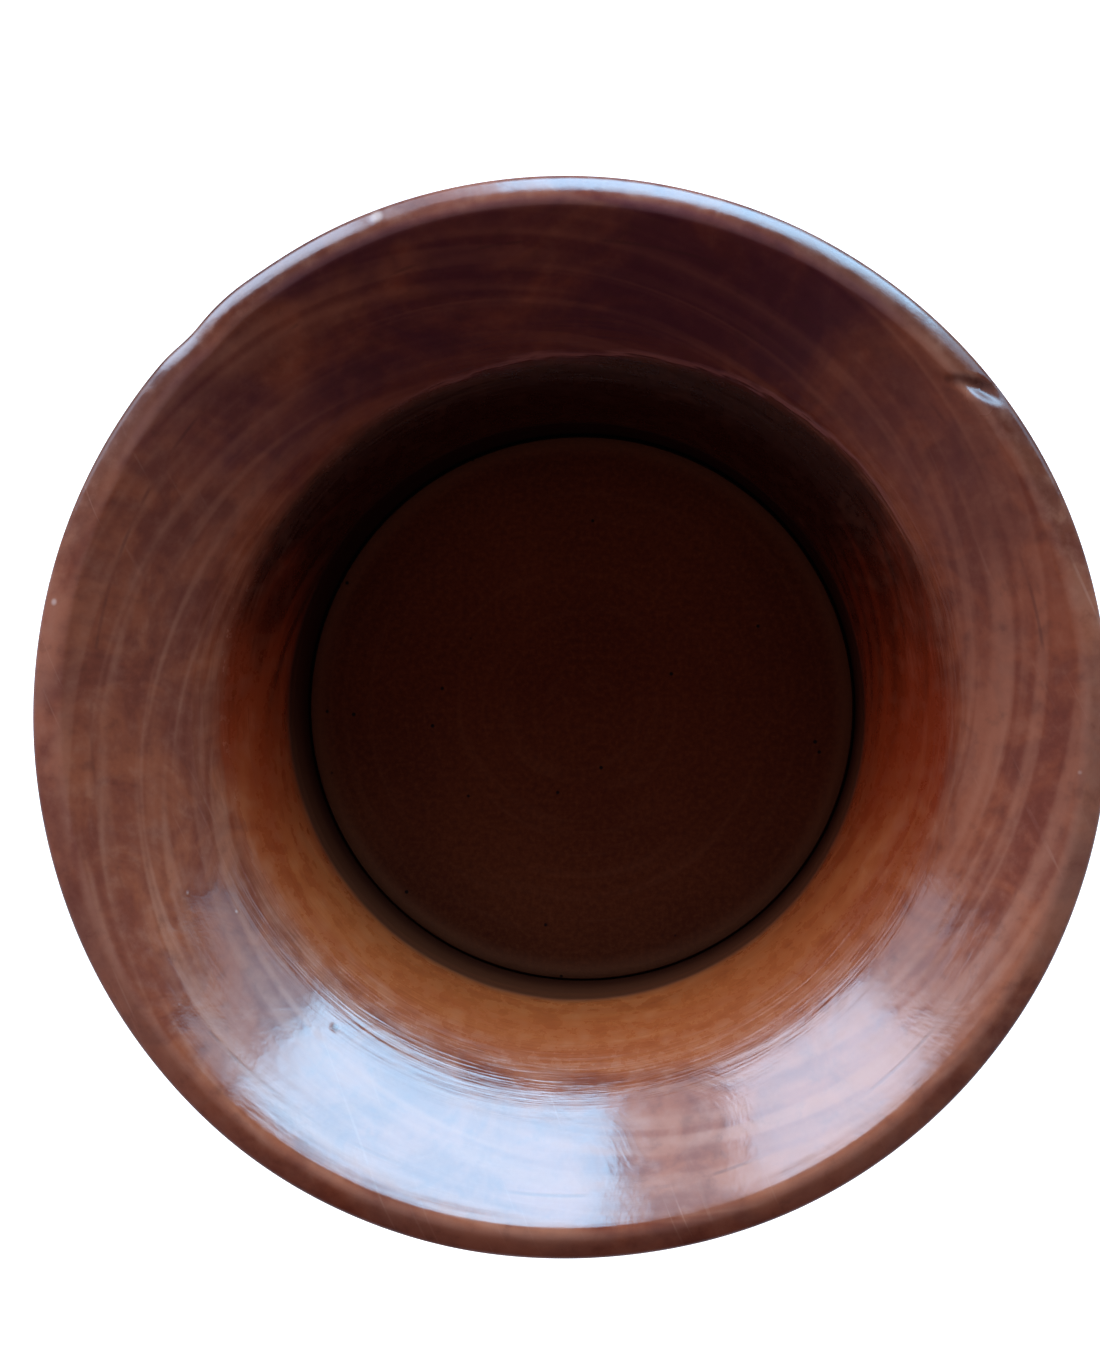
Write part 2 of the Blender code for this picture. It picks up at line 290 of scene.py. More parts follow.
def turned(name, node, spacing, angles, shape=None, crisp=None):
    """The node's outline turned about Z. shape gives each point's new radius and height."""
    points, closed = smooth_outline(node, spacing, crisp)
    normals = outward(points, closed)
    radius = np.repeat(points[:, :1], len(angles), 1)
    height = np.repeat(points[:, 1:], len(angles), 1)
    angle = np.repeat(angles[None], len(points), 0)
    if shape is not None:
        radius, height = shape(angle, radius, height, normals)
    grid = np.stack([radius * np.cos(angle), radius * np.sin(angle), height], 2)
    columns = len(angles)
    rows = len(points)
    verts = [tuple(place) for place in grid.reshape(-1, 3)]
    faces = []
    for row in range(rows if closed else rows - 1):
        below = (row + 1) % rows
        for column in range(columns):
            right = (column + 1) % columns
            a, b = row * columns + column, row * columns + right
            c, d = below * columns + right, below * columns + column
            if not closed and row == 0 and points[0, 0] < 1e-6:
                faces.append((0, d, c))
            elif not closed and row == rows - 2 and points[-1, 0] < 1e-6:
                faces.append((a, (rows - 1) * columns, b))
            else:
                faces.append((a, d, c, b))
    mesh = bpy.data.meshes.new(name)
    mesh.from_pydata(verts, [], faces)
    loose = np.ones(len(verts), bool)
    loose[[index for face in faces for index in face]] = False
    if loose.any():
        drop_loose(mesh)
    mesh.shade_smooth()
    mesh.set_sharp_from_angle(angle=radians(35))
    piece = bpy.data.objects.new(name, mesh)
    bpy.context.scene.collection.objects.link(piece)
    return piece


def drop_loose(mesh):
    """Remove the points that no face uses."""
    shape = bmesh.new()
    shape.from_mesh(mesh)
    bmesh.ops.delete(shape, geom=[v for v in shape.verts if not v.link_faces], context="VERTS")
    shape.to_mesh(mesh)
    shape.free()


def pressed_on(name, node):
    """A hand-pressed lump of clay: the CAD node's shape, refined, with uneven sides."""
    shape = bmesh.new()
    shape.from_mesh(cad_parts[node].data)
    bmesh.ops.subdivide_edges(shape, edges=shape.edges[:], cuts=3, use_grid_fill=True)
    shape.normal_update()
    for v in shape.verts:
        swell = 0.10 * noise.noise(v.co * 260) + 0.05 * noise.noise(v.co * 800)
        v.co += v.normal * swell * MM
    mesh = bpy.data.meshes.new(name)
    shape.to_mesh(mesh)
    shape.free()
    mesh.materials.clear()
    mesh.shade_smooth()
    mesh.set_sharp_from_angle(angle=radians(50))
    piece = bpy.data.objects.new(name, mesh)
    bpy.context.scene.collection.objects.link(piece)
    return piece


# ---------------------------------------------------------------- marks of throwing and use


def hump(value, width):
    """1 where the value is 0, falling smoothly to both sides."""
    return np.exp(-((value / width) ** 2))


def off_angle(angle, centre):
    """The signed angle from the centre, the short way round."""
    return (angle - centre + pi) % (2 * pi) - pi


def wandering(angle, radius, height, size, depth, seed):
    """Slow, uneven swelling of a hand-thrown wall."""
    x, y = radius * np.cos(angle) / size, radius * np.sin(angle) / size
    z = height / size + seed
    flat = [noise.noise(Vector(place)) for place in zip(x.ravel(), y.ravel(), z.ravel())]
    return depth * np.array(flat).reshape(angle.shape)


def throwing_rings(angle, radius, height, pitch, depth):
    """The shallow spiral that the potter's fingers leave."""
    along = (RIM_TOP - height) + (RIM_RADIUS - radius)
    swell = 0.6 + 0.4 * np.cos(2 * pi * along / (pitch * 5.3) + 2 * angle)
    return depth * swell * np.cos(2 * pi * along / pitch - angle)


def rim_round(angle):
    """How far the rim lies outside its mean circle."""
    return sum(height * np.cos(lobes * angle - first) for lobes, height, first in RIM_LOBES)


def bowl_shape(angle, radius, height, normals):
    """Thrown marks on the collar and the well, which share one wall."""
    drop = RIM_TOP - height
    near_rim = np.clip(1 - drop / (14 * MM), 0, 1) ** 0.7
    wider = near_rim * (rim_round(angle) - RIM_SHRINK)
    edge = np.clip((radius - 52 * MM) / (6 * MM), 0, 1) * hump(drop, 5 * MM)
    wider -= FLAT_DEPTH * edge * hump(off_angle(angle, RIM_FLAT), FLAT_WIDTH)
    wider += SWELLING_HEIGHT * edge * hump(off_angle(angle, SWELLING), SWELLING_WIDTH)
    out = wandering(angle, radius, height, *UNEVEN)
    inside = (normals[:, :1] < 0.2) | (drop < 1 * MM)
    inner_rings = throwing_rings(angle, radius, height, *INNER_RINGS)
    outer_rings = throwing_rings(angle, radius, height, *OUTER_RINGS)
    out = out + np.where(inside, inner_rings, outer_rings)
    past_fold = (off_angle(angle, RIM_NICK) - (RIM_EDGE - radius) * FOLD_LEAN) * radius
    sunken = np.clip(1 + past_fold / FOLD_WIDTH, 0, 1) * np.clip(1 - past_fold / FOLD_STEP, 0, 1)
    sunken = sunken**2 * (3 - 2 * sunken)
    at_edge = hump(radius - FOLD_MIDDLE, FOLD_REACH) * hump(drop, 3 * MM)
    at_edge = at_edge * np.clip((FOLD_END - radius) / FOLD_END_FADE, 0, 1)
    out = out - FOLD_DEPTH * at_edge * sunken
    beside_disc = np.abs(height - WALL_BY_DISC_HEIGHT) < WALL_BY_DISC_REACH
    beside_disc &= (normals[:, :1] < 0) & (radius > WALL_BY_DISC) & (radius < WALL_BY_DISC_MOST)
    radius = np.where(beside_disc, WALL_BY_DISC, radius)
    at_joint = hump(height - SEAM_HEIGHT, 1.2 * MM)
    out = out * (1 - 0.8 * at_joint)
    out = np.where(drop < 1 * MM, np.minimum(out, 0), out)
    return radius + normals[:, :1] * out + wider, height + normals[:, 1:] * out


def collar_shape(angle, radius, height, normals):
    """The collar's marks. Its foot comes down over the joint to meet the well."""
    over_joint = np.clip(1 - (height - SEAM_HEIGHT) / (3 * MM), 0, 1)
    return bowl_shape(angle, radius, height - SEAM_GAP * over_joint, normals)


# ---------------------------------------------------------------- materials


class Nodes:
    """A small helper that writes a material's node tree."""

    def __init__(self, name):
        self.material = bpy.data.materials.new(name)
        self.material.use_nodes = True
        self.tree = self.material.node_tree
        self.shader = self.tree.nodes["Principled BSDF"]

    def add(self, kind, **settings):
        node = self.tree.nodes.new(kind)
        for key, value in settings.items():
            setattr(node, key, value)
        return node

    def put(self, socket, value):
        if hasattr(value, "is_output"):
            self.tree.links.new(value, socket)
        elif value is not None:
            socket.default_value = value

    def math(self, operation, a, b=None, c=None):
        node = self.add("ShaderNodeMath", operation=operation)
        for socket, value in zip(node.inputs, (a, b, c)):
            self.put(socket, value)
        return node.outputs[0]

    def sum(self, a, b):
        return self.math("ADD", a, b)

    def less(self, a, b):
        return self.math("SUBTRACT", a, b)

    def times(self, a, b):
        return self.math("MULTIPLY", a, b)

    def line(self, value, slope, start):
        """slope times the value, plus start."""
        return self.math("MULTIPLY_ADD", value, slope, start)

    def join(self, x, y, z):
        node = self.add("ShaderNodeCombineXYZ")
        for socket, value in zip(node.inputs, (x, y, z)):
            self.put(socket, value)
        return node.outputs[0]

    def ramp(self, value, low, high):
        """0 up to low and 1 from high on."""
        node = self.add("ShaderNodeMapRange", interpolation_type="SMOOTHSTEP")
        for socket, number in zip(node.inputs, (value, low, high, 0.0, 1.0)):
            self.put(socket, number)
        return node.outputs[0]

    def mix(self, share, a, b):
        node = self.add("ShaderNodeMix", data_type="RGBA")
        colours = [s for s in node.inputs if s.type == "RGBA"]
        self.put(node.inputs[0], share)
        self.put(colours[0], (*a, 1) if isinstance(a, tuple) else a)
        self.put(colours[1], (*b, 1) if isinstance(b, tuple) else b)
        return next(s for s in node.outputs if s.type == "RGBA")

    def stain(self, colour, share, amount, stain):
        """The colour with that amount of the stain where share is 1."""
        return self.mix(self.times(share, amount), colour, stain)

    def noise(self, vector, scale, detail=3, roughness=0.5, distortion=0.0):
        node = self.add("ShaderNodeTexNoise")
        self.put(node.inputs["Vector"], vector)
        node.inputs["Scale"].default_value = scale
        node.inputs["Detail"].default_value = detail
        node.inputs["Roughness"].default_value = roughness
        node.inputs["Distortion"].default_value = distortion
        return node.outputs[0]

    def cells(self, vector, scale):
        node = self.add("ShaderNodeTexVoronoi", feature="F1")
        self.put(node.inputs["Vector"], vector)
        node.inputs["Scale"].default_value = scale
        return node.outputs["Distance"]

    def bump(self, height, distance, strength=1.0, under=None):
        node = self.add("ShaderNodeBump")
        node.inputs["Strength"].default_value = strength
        node.inputs["Distance"].default_value = distance
        self.put(node.inputs["Height"], height)
        self.put(node.inputs["Normal"], under)
        return node.outputs[0]

    def point(self):
        """The point on the piece, which moves with the piece."""
        return self.add("ShaderNodeTexCoord").outputs["Object"]

    def places(self):
        """The point on the piece, its height, its radius and the two shares of its direction."""
        point = self.point()
        split = self.add("ShaderNodeSeparateXYZ")
        self.put(split.inputs[0], point)
        x, y, z = split.outputs
        radius = self.math("SQRT", self.sum(self.times(x, x), self.times(y, y)))
        safe = self.math("MAXIMUM", radius, 0.001)
        return point, z, radius, self.math("DIVIDE", x, safe), self.math("DIVIDE", y, safe)

    def about_axis(self, vector, angle):
        """The vector turned about Z."""
        node = self.add("ShaderNodeVectorRotate", rotation_type="Z_AXIS")
        self.put(node.inputs["Vector"], vector)
        self.put(node.inputs["Angle"], angle)
        return node.outputs[0]

    def stretch(self, vector, factors, start=None):
        """The vector with each part times its factor, plus start."""
        node = self.add("ShaderNodeVectorMath", operation="MULTIPLY" if start is None else "MULTIPLY_ADD")
        self.put(node.inputs[0], vector)
        node.inputs[1].default_value = factors
        self.put(node.inputs[2], start)
        return node.outputs[0]

    def near(self, point, centre, reach):
        """1 at a place on the piece, falling to 0 at reach from it."""
        node = self.add("ShaderNodeVectorMath", operation="DISTANCE")
        self.put(node.inputs[0], point)
        node.inputs[1].default_value = centre
        return self.ramp(node.outputs["Value"], reach, 0.0)

    def several(self, point, places):
        """1 at each of the places, falling to 0 at its reach."""
        total = 0.0
        for angle, radius, drop, reach in places:
            here = self.near(point, on_flare(angle, radius, drop), reach)
            total = self.math("MAXIMUM", here, total)
        return total


def on_flare(angle, radius, drop):
    """A place on the flare's inside, from its angle, radius and depth under the rim."""
    return (radius * cos(angle), radius * sin(angle), RIM_TOP - drop)


# Small faults in the glaze: angle, radius, depth under the rim and reach of each.
PALE_SPECKS = (
    (radians(210.4), 44.2 * MM, 10.6 * MM, 0.45 * MM),
    (radians(204.8), 47.7 * MM, 7.4 * MM, 0.50 * MM),
    (radians(201.0), 45.0 * MM, 9.9 * MM, 0.40 * MM),
    (radians(167.1), 58.4 * MM, 0.4 * MM, 0.70 * MM),
    (radians(-5.7), 56.6 * MM, 0.3 * MM, 0.55 * MM),
    (radians(208.0), 55.5 * MM, 1.1 * MM, 0.45 * MM),
    (radians(216.5), 53.9 * MM, 2.3 * MM, 0.35 * MM),
    (radians(110.6), 59.2 * MM, 0.9 * MM, 1.3 * MM),
)
PITS = (
    (radians(233.0), 44.4 * MM, 10.3 * MM, 0.95 * MM),
    (radians(258.0), 38.3 * MM, 18.0 * MM, 0.40 * MM),
)
DULL_BY_FOLD = ((radians(37.6), 58.0 * MM, 0.4 * MM, 3.5 * MM),)

# The fold's crease, darkened with painted shade, as places along it: radius and reach of each. Their
# depth under the rim grows with the square of their distance from the crest.
RIM_CREST = 57.4 * MM
RIM_CURVE = 330
SHADED_CREASE = tuple(
    (RIM_NICK + (RIM_EDGE - radius) * FOLD_LEAN, radius, RIM_CURVE * (radius - RIM_CREST) ** 2, reach)
    for radius, reach in (
        (56.2 * MM, 0.9 * MM),
        (56.7 * MM, 1.2 * MM),
        (57.2 * MM, 1.4 * MM),
        (57.7 * MM, 1.4 * MM),
        (58.2 * MM, 1.2 * MM),
        (58.7 * MM, 1.1 * MM),
        (59.2 * MM, 1.0 * MM),
    )
)

# The turn of the brushed streaks per metre of wall, the thin line round the flare, and the way of
# the scratches.
STREAK_SWEEP = 80.0
THIN_LINE_RADIUS = 53.1 * MM
SCRATCH_WAY = radians(-24)

# The glaze's colours.
CHESTNUT = (0.148, 0.032, 0.016)
RUSSET = (0.230, 0.057, 0.024)
PLUM_SHADE = (0.072, 0.0085, 0.019)
TAN_BROWN = (0.35, 0.137, 0.078)
UMBER_SHADE = (0.026, 0.003, 0.001)
OXBLOOD = (0.185, 0.024, 0.0055)
LIT_ORANGE = (0.235, 0.047, 0.0125)
AMBER = (0.36, 0.105, 0.027)
REFLECTION_PINK = (0.40, 0.17, 0.16)
WORN_TAN = (0.34, 0.155, 0.10)
RIM_SHADE = (0.055, 0.010, 0.004)
DARK_MOTTLE = (0.07, 0.016, 0.010)
PALE_MOTTLE = (0.33, 0.135, 0.078)
THIN_LINE = (0.06, 0.016, 0.012)
SCRATCH = (0.44, 0.24, 0.17)
PALE_SPECK = (0.50, 0.33, 0.26)
PIT = (0.06, 0.018, 0.012)
CREASE_SHADE_COLOUR = (0.05, 0.014, 0.010)
BARE_SHADE = (0.080, 0.020, 0.007)
SHADE_BY_DISC = (0.035, 0.005, 0.0015)


def inner_side(n, z, radius):
    """1 on the inner side of the collar's and the well's wall, and 0 on their outer side."""
    mid_wall = n.line(n.math("MAXIMUM", n.less(z, 56 * MM), 0.0), 0.55, 37 * MM)
    mid_wall = n.line(n.math("MAXIMUM", n.less(z, 65 * MM), 0.0), 0.5, mid_wall)
    inside = n.ramp(n.less(radius, mid_wall), 0.6 * MM, -0.6 * MM)
    return n.times(inside, n.ramp(z, 24 * MM, 26 * MM))


def glaze(name):
    """Iron-brown glaze, streaked by the wheel, thin and pale on the rim, orange on the throat, with
    painted shade and light.
    """
    n = Nodes(name)
    point, z, radius, cx, cy = n.places()
    drop = n.less(RIM_TOP, z)
    along = n.sum(drop, n.less(RIM_RADIUS, radius))
    fine_rings = n.noise(n.join(n.times(along, 420.0), n.times(cx, 1.3), n.times(cy, 1.3)), 1.0, 4, 0.6)
    comb = n.noise(n.join(n.times(along, 1500.0), n.times(cx, 5.0), n.times(cy, 5.0)), 1.0, 2, 0.5)
    swept = n.about_axis(n.join(cx, cy, 0.0), n.times(along, STREAK_SWEEP))
    streak_space = n.stretch(swept, (3.4, 3.4, 0), n.join(0.0, 0.0, n.times(along, 85.0)))
    streaks = n.noise(streak_space, 1.0, 1.2, 0.45, 0.9)
    patches = n.noise(point, 48.0, 4, 0.58, 0.8)
    cloud = n.noise(point, 120.0, 4, 0.62, 0.5)
    mottle = n.noise(point, 430.0, 4, 0.62)
    off_middle = n.less(patches, 0.5)
    inside = inner_side(n, z, radius)

    # The flare and the outer wall: brown, darkened to plum towards the window as painted shade, with tan
    # streaks.
    plum_shade = n.ramp(n.sum(cy, n.times(off_middle, 1.5)), 0.50, 1.0)
    plum_shade = n.times(plum_shade, n.line(inside, 0.6, 0.3))
    tan_share = n.times(n.ramp(streaks, 0.36, 0.80), n.line(inside, 0.24, 0.24))
    tan_share = n.times(tan_share, n.less(1.0, n.times(plum_shade, 0.6)))
    colour = n.mix(n.ramp(cloud, 0.36, 0.64), CHESTNUT, RUSSET)
    colour = n.mix(plum_shade, colour, PLUM_SHADE)
    colour = n.mix(tan_share, colour, TAN_BROWN)

    # The throat, with painted shade and light: umber in painted shade towards the window, through oxblood
    # to flecked orange in painted light opposite it.
    shore = n.sum(radius, n.times(off_middle, 3.0 * MM))
    shore = n.less(shore, n.times(n.ramp(cx, -0.3, 0.9), 2.6 * MM))
    shore = n.sum(shore, n.times(n.less(comb, 0.5), 1.2 * MM))
    throat = n.times(n.ramp(shore, 41.6 * MM, 39.4 * MM), inside)
    painted_light = n.less(n.times(n.less(streaks, 0.5), 0.7), cy)
    painted_light = n.sum(painted_light, n.times(n.less(cloud, 0.5), 0.5))
    grain = n.times(n.sum(mottle, fine_rings), 0.5)
    fleck_in_light = n.times(n.ramp(grain, 0.26, 0.84), n.ramp(painted_light, 0.0, 0.8))
    throat_colour = n.mix(n.ramp(painted_light, -0.62, 0.10), UMBER_SHADE, OXBLOOD)
    throat_colour = n.mix(n.ramp(painted_light, 0.05, 0.80), throat_colour, LIT_ORANGE)
    throat_colour = n.stain(throat_colour, fleck_in_light, 0.52, AMBER)
    colour = n.mix(throat, colour, throat_colour)

    # The lap of glaze over the throat's window side, whose pink line is a painted reflection, the rim,
    # and the mottle.
    lap_and_reflection = n.times(n.ramp(shore, 40.5 * MM, 40.8 * MM), n.ramp(shore, 41.4 * MM, 40.8 * MM))
    lap_and_reflection = n.times(lap_and_reflection, n.times(n.ramp(n.line(cx, 0.3, cy), 0.6, 0.95), inside))
    colour = n.stain(colour, lap_and_reflection, 0.36, REFLECTION_PINK)
    edge = n.ramp(radius, RIM_RADIUS - 4.2 * MM, RIM_RADIUS - 2.0 * MM)
    edge = n.times(edge, n.ramp(drop, 3.5 * MM, 1.0 * MM))
    worn = n.times(edge, n.ramp(n.sum(patches, n.times(mottle, 0.3)), 0.42, 0.86))
    colour = n.stain(colour, worn, 0.30, WORN_TAN)
    # Painted shade: the rim's edge is darkened on its diagonals towards the window.
    rim_shade = n.times(edge, n.ramp(n.times(cy, n.math("ABSOLUTE", cx)), 0.18, 0.45))
    colour = n.stain(colour, rim_shade, 0.62, RIM_SHADE)
    dark_mottle = n.times(n.ramp(mottle, 0.48, 0.24), n.line(throat, -0.17, 0.30))
    colour = n.mix(dark_mottle, colour, DARK_MOTTLE)
    spared = n.math("MAXIMUM", plum_shade, n.times(throat, 0.7))
    pale_mottle = n.times(n.ramp(mottle, 0.44, 0.80), n.less(0.26, n.times(spared, 0.22)))
    colour = n.mix(pale_mottle, colour, PALE_MOTTLE)

    # The thin line, the scratches, the faults, and the painted shade in the fold's crease.
    off_line = n.math("ABSOLUTE", n.less(radius, THIN_LINE_RADIUS))
    thin_line = n.times(n.ramp(off_line, 0.26 * MM, 0.04 * MM), n.ramp(cloud, 0.46, 0.62))
    thin_line = n.times(thin_line, n.ramp(drop, 5 * MM, 4 * MM))
    colour = n.stain(colour, thin_line, 0.38, THIN_LINE)
    stretched = n.stretch(n.about_axis(point, SCRATCH_WAY), (1500, 48, 48))
    scratches = n.times(n.ramp(n.noise(stretched, 1.0, 1), 0.66, 0.76), n.ramp(patches, 0.44, 0.60))
    scratches = n.times(scratches, n.ramp(n.sum(plum_shade, throat), 0.3, 0.0))
    colour = n.stain(colour, scratches, 0.16, SCRATCH)
    specks = n.several(point, PALE_SPECKS)
    pits = n.several(point, PITS)
    crease_shade = n.several(point, SHADED_CREASE)
    colour = n.stain(colour, n.ramp(specks, 0.1, 0.9), 0.55, PALE_SPECK)
    colour = n.stain(colour, n.ramp(pits, 0.1, 0.9), 0.6, PIT)
    colour = n.stain(colour, n.ramp(crease_shade, 0.0, 1.0), 0.42, CREASE_SHADE_COLOUR)

    # The well's wall is bare below the throat. Its colour is painted shade, darker towards the window and
    # darkest beside the disc.
    unglazed = n.times(n.ramp(n.line(off_middle, 2 * MM, z), 53.6 * MM, 50.8 * MM), inside)
    bare_shade_colour = n.mix(n.ramp(cy, -0.4, 0.7), BARE_SHADE, UMBER_SHADE)
    bare_shade_colour = n.stain(bare_shade_colour, n.ramp(z, 45 * MM, 38 * MM), 0.65, SHADE_BY_DISC)
    n.put(n.shader.inputs["Base Color"], n.mix(unglazed, colour, bare_shade_colour))

    rough = n.sum(0.13, n.times(n.ramp(mottle, 0.35, 0.75), 0.07))
    rough = n.sum(rough, n.times(throat, 0.12))
    rough = n.sum(rough, n.times(unglazed, 0.6))
    rough = n.sum(rough, n.times(n.ramp(streaks, 0.45, 0.75), 0.05))
    rough = n.sum(rough, n.times(n.several(point, DULL_BY_FOLD), 0.22))
    n.put(n.shader.inputs["Roughness"], rough)
    n.put(n.shader.inputs["Specular IOR Level"], n.line(unglazed, -0.42, 0.5))
    n.shader.inputs["IOR"].default_value = 1.5

    relief = n.bump(fine_rings, 0.10 * MM, 0.22)
    inner = n.times(n.ramp(radius, 47 * MM, 42 * MM), n.ramp(radius, 33 * MM, 34 * MM))
    relief = n.bump(n.times(comb, n.sum(0.10, inner)), 0.034 * MM, 1.0, relief)
    raised = n.sum(n.times(lap_and_reflection, 0.5), n.times(specks, 0.35))
    sunken = n.line(thin_line, 0.12, n.times(pits, 0.6))
    relief = n.bump(n.less(raised, sunken), 0.10 * MM, 0.7, relief)
    relief = n.bump(cloud, 0.30 * MM, 0.22, relief)
    n.put(n.shader.inputs["Normal"], n.bump(mottle, 0.05 * MM, 0.22, relief))
    return n.material


def bare_clay(name):
    """Toasted, unglazed stoneware with grog."""
    n = Nodes(name)
    point = n.point()
    patches = n.noise(point, 60.0, 4, 0.6, 0.3)
    grain = n.noise(point, 900.0, 4, 0.7)
    grog = n.cells(point, 700.0)
    colour = n.mix(n.ramp(patches, 0.35, 0.7), (0.30, 0.155, 0.085), (0.20, 0.085, 0.045))
    colour = n.stain(colour, n.ramp(grain, 0.62, 0.5), 0.4, (0.13, 0.055, 0.03))
    colour = n.stain(colour, n.ramp(grog, 0.22, 0.08), 0.6, (0.48, 0.33, 0.22))
    n.put(n.shader.inputs["Base Color"], colour)
    n.put(n.shader.inputs["Roughness"], n.sum(0.72, n.times(grain, 0.2)))
    relief = n.bump(grain, 0.12 * MM, 0.6)
    n.put(n.shader.inputs["Normal"], n.bump(grog, 0.08 * MM, 0.4, relief))
    return n.material


def porous_clay(name):
    """Matte, near-black brown clay with turning lines, open pores and a painted light edge."""
    n = Nodes(name)
    point, _, radius, cx, cy = n.places()
    rings = n.noise(n.join(n.times(radius, 700.0), n.times(cx, 0.8), n.times(cy, 0.8)), 1.0, 4, 0.6)
    patches = n.noise(point, 55.0, 3, 0.5)
    grain = n.noise(point, 1500.0, 3, 0.7)
    pores = n.cells(point, 230.0)
    colour = n.mix(n.ramp(patches, 0.3, 0.7), (0.074, 0.0125, 0.003), (0.092, 0.018, 0.0045))
    colour = n.stain(colour, n.ramp(grain, 0.40, 0.80), 0.35, (0.18, 0.055, 0.019))
    colour = n.stain(colour, n.ramp(grain, 0.50, 0.25), 0.45, (0.045, 0.009, 0.004))
    colour = n.stain(colour, n.ramp(rings, 0.50, 0.75), 0.16, (0.17, 0.062, 0.028))
    # Painted light: the disc's colour is lighter towards its edge.
    colour = n.stain(colour, n.ramp(radius, 30.6 * MM, 33.4 * MM), 0.50, (0.16, 0.060, 0.028))
    colour = n.mix(n.ramp(pores, 0.075, 0.035), colour, (0.012, 0.004, 0.003))
    n.put(n.shader.inputs["Base Color"], colour)
    n.put(n.shader.inputs["Roughness"], n.sum(0.78, n.times(grain, 0.18)))
    n.shader.inputs["Specular IOR Level"].default_value = 0.15
    lines = n.bump(rings, 0.10 * MM, 0.28)
    n.put(n.shader.inputs["Normal"], n.bump(grain, 0.06 * MM, 0.6, lines))
    return n.material


# ---------------------------------------------------------------- pieces


def finish_piece(piece, material, node, body):
    """The piece's material and the body that it rides on; the CAD node that it stands for is hidden."""
    piece.data.materials.append(material)
    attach(piece, body)
    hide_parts(node)


brown = glaze("brown_glaze")
clay = bare_clay("bare_clay")
porous = porous_clay("porous_clay")

by_fold = (radians(33), radians(43), radians(0.16))
by_flat = (radians(126), radians(142), radians(0.4))
rim_angles = even_angles(400, [by_fold, by_flat])
joint_inner = inner_joint_radius()
collar = turned(
    "glazed_collar", "flared_collar", 0.42 * MM, rim_angles, collar_shape, (joint_inner, SEAM_HEIGHT)
)
finish_piece(collar, brown, "flared_collar", "dripper")
well_joint = (joint_inner, SEAM_HEIGHT - SEAM_GAP)
well = turned("glazed_well", "filter_well", 0.65 * MM, even_angles(320), bowl_shape, well_joint)
finish_piece(well, brown, "filter_well", "dripper")
saucer = turned("glazed_saucer", "saucer_flange", 0.6 * MM, even_angles(300))
finish_piece(saucer, brown, "saucer_flange", "dripper")
ring = turned("turned_foot", "locating_ring", 0.5 * MM, even_angles(240))
finish_piece(ring, clay, "locating_ring", "dripper")
disc = turned("turned_disc", "filter_disc", 0.5 * MM, even_angles(240))
disc.data.transform(Matrix.Translation(DISC_ASIDE))
finish_piece(disc, porous, "filter_disc", "loose_disc")

for number in (1, 2, 3):
    rest = pressed_on(f"clay_rest_{number}", f"disc_rest_{number}")
    finish_piece(rest, brown, f"disc_rest_{number}", "dripper")
    lug = pressed_on(f"clay_lug_{number}", f"vent_lug_{number}")
    finish_piece(lug, clay, f"vent_lug_{number}", "dripper")


# ---------------------------------------------------------------- stage


def add_floor():
    """A pale floor just under the dripper. It looks brighter than the light that it gives."""
    bpy.ops.mesh.primitive_plane_add(size=6, location=(0, 0, cad_low.z - 0.05 * MM))
    floor = bpy.context.object
    floor.name = "floor"
    n = Nodes("pale_floor")
    n.shader.inputs["Base Color"].default_value = (0.4, 0.4, 0.41, 1)
    n.shader.inputs["Roughness"].default_value = 0.9
    n.shader.inputs["Specular IOR Level"].default_value = 0
    n.shader.inputs["Emission Color"].default_value = (1, 1, 1, 1)
    seen = n.add("ShaderNodeLightPath").outputs["Is Camera Ray"]
    n.put(n.shader.inputs["Emission Strength"], n.line(seen, 0.86, 0.12))
    floor.data.materials.append(n.material)


# The window, as seen from the dripper: each pane's sides and heights as shares of its distance,
# its brightness and its colour. The low strips are the view outside under the sky.
WINDOW_DISTANCE = 2.5
SKY = (0.37, 0.70, 1.0)
CLOUD = (0.58, 0.76, 1.0)
WINDOW_RADIANCE = 16.5
PANES = (
    ("pane_right", -0.17, 0.90, 0.21, 0.66, 1.06, SKY),
    ("pane_right_top", -0.17, 0.90, 0.66, 0.82, 0.55, SKY),
    ("pane_right_low", -0.17, 0.90, 0.12, 0.21, 0.72, SKY),
    ("pane_right_foot", -0.17, 0.90, 0.04, 0.12, 0.36, SKY),
    ("curtain_right", 0.90, 1.35, 0.08, 0.85, 0.23, SKY),
    ("curtain_far_right", 1.35, 2.2, 0.08, 0.70, 0.15, SKY),
    ("mullion", -0.48, -0.17, 0.08, 0.70, 0.20, CLOUD),
    ("pane_left", -1.28, -0.48, 0.21, 0.70, 0.72, CLOUD),
    ("pane_left_top", -1.28, -0.48, 0.70, 0.90, 0.45, CLOUD),
    ("pane_left_low", -1.28, -0.48, 0.12, 0.21, 0.55, CLOUD),
    ("pane_left_foot", -1.28, -0.48, 0.04, 0.12, 0.32, CLOUD),
    ("curtain_left", -2.6, -1.28, 0.08, 0.70, 0.18, CLOUD),
)


